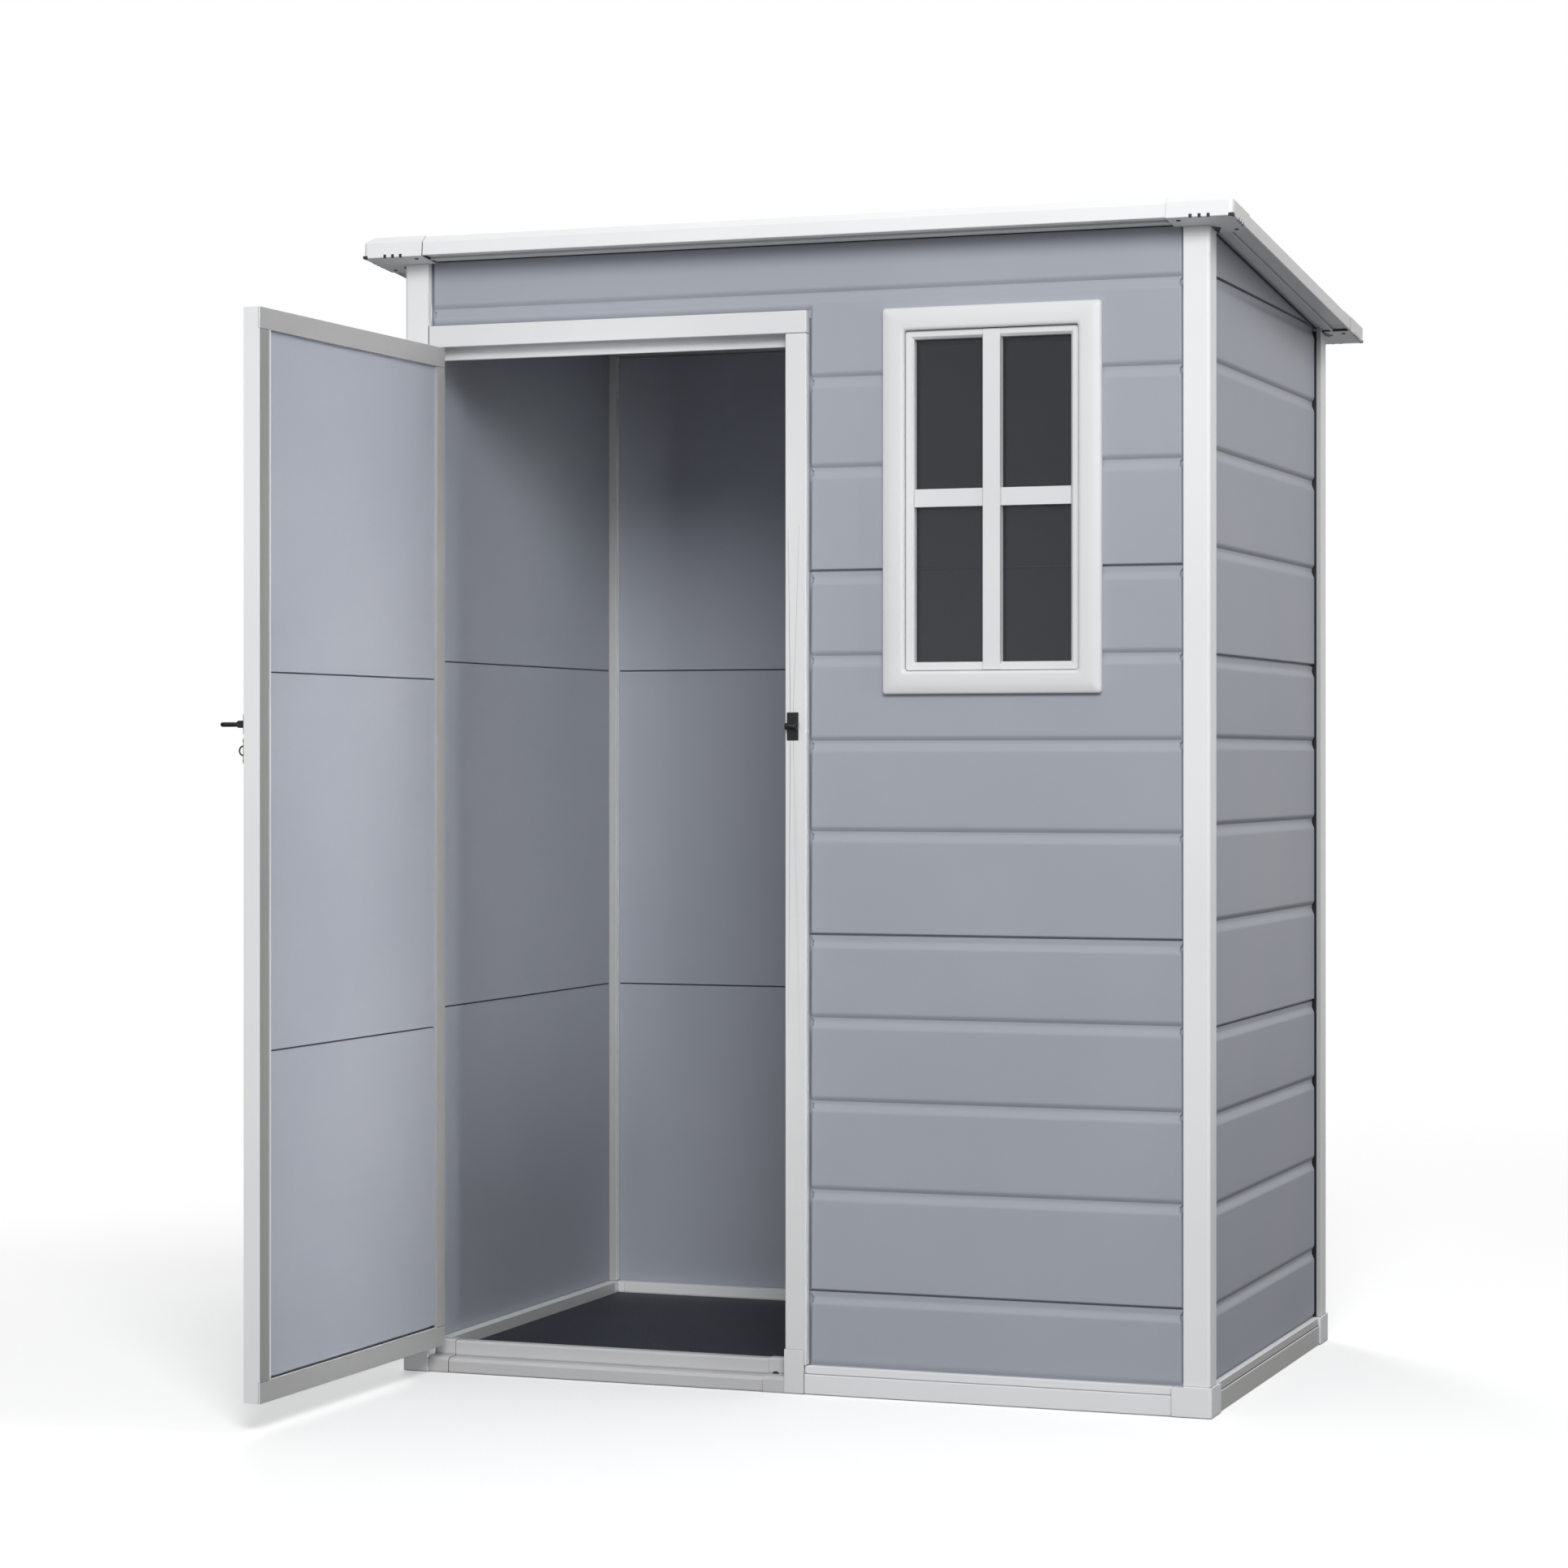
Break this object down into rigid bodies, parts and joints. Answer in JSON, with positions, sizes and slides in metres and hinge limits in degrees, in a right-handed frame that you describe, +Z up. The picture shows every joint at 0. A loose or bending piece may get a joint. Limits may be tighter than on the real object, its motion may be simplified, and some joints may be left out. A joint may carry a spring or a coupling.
{
  "type": "storage shed",
  "caption": "Resin garden shed with a pent roof, board-pattern wall panels in posts, a hinged door with a sliding bolt, a fixed window and a ribbed floor.",
  "frame": {"origin": "on the ground, under the middle of the four walls", "axes": "+X along the front from left to right as the door is faced, +Y from the front to the rear, +Z up"},
  "size_m": [1.4544, 1.5422, 1.8591],
  "materials": {
    "panel": "fine moulded texture",
    "roof": "fine moulded texture",
    "trim": "smooth satin",
    "floor": "coarse anti-slip texture",
    "glazing": "clear acrylic",
    "hardware": "black satin paint",
    "beam": "galvanised, thinly painted"
  },
  "bodies": {
    "shed": {"base_rail_front": "trim", "base_rail_left": "trim", "base_rail_right": "trim", "base_rail_rear": "trim", "base_corners": "trim", "jamb_socket": "trim", "sill_outer_bar": "trim", "sill_inner_bar": "trim", "sill_ends": "trim", "floor_panel_left": "floor", "floor_panel_right": "floor", "post_front_left": "trim", "post_front_right": "trim", "post_rear_left": "trim", "post_rear_right": "trim", "door_jamb": "trim", "door_header": "trim", "front_starter_panel": "panel", "front_lower_panel": "panel", "front_middle_panel": "panel", "front_upper_panel": "panel", "left_lower_panel": "panel", "left_middle_panel": "panel", "left_upper_panel": "panel", "right_lower_panel": "panel", "right_middle_panel": "panel", "right_upper_panel": "panel", "side_wedge_panels": "panel", "rear_lower_panel": "panel", "rear_middle_panel": "panel", "rear_upper_panel": "panel", "window_frame": "trim", "window_sash": "trim", "window_pane": "glazing", "window_inner_trim": "trim", "roof_panel_left": "roof", "roof_panel_right": "roof", "roof_joint_strip": "trim", "roof_beam": "beam", "fascia_front": "trim", "fascia_rear": "trim", "fascia_sides": "trim", "roof_caps": "trim", "hinge_leaves_frame": "hardware", "bolt_keeper": "hardware", "frame_screws": "hardware"},
    "door": {"door_hinge_stile": "trim", "door_lock_stile": "trim", "door_top_rail": "trim", "door_bottom_rail": "trim", "door_lower_panel": "panel", "door_middle_panel": "panel", "door_upper_panel": "panel", "hinge_leaves_door": "hardware", "bolt_plate": "hardware", "padlock_staple": "hardware", "door_screws": "hardware"},
    "bolt": {"bolt_rod": "hardware"},
    "bolt_handle": {"bolt_handle": "hardware"}
  },
  "joints": [
    {"name": "door_hinge", "type": "hinge", "parent": "shed", "child": "door", "pos_m": [-0.6345, -0.425, 0.862], "axis": [0, 0, 1], "range_deg": [-79, 91]},
    {"name": "bolt_slide", "type": "slide", "parent": "door", "child": "bolt", "axis": [-0.0175, -0.9998, 0], "range_m": [0, 0.018]},
    {"name": "bolt_turn", "type": "hinge", "parent": "bolt", "child": "bolt_handle", "pos_m": [-0.6492, -1.01523, 1.05697], "axis": [-0.0175, -0.9998, 0], "range_deg": [0, 90]}
  ]
}
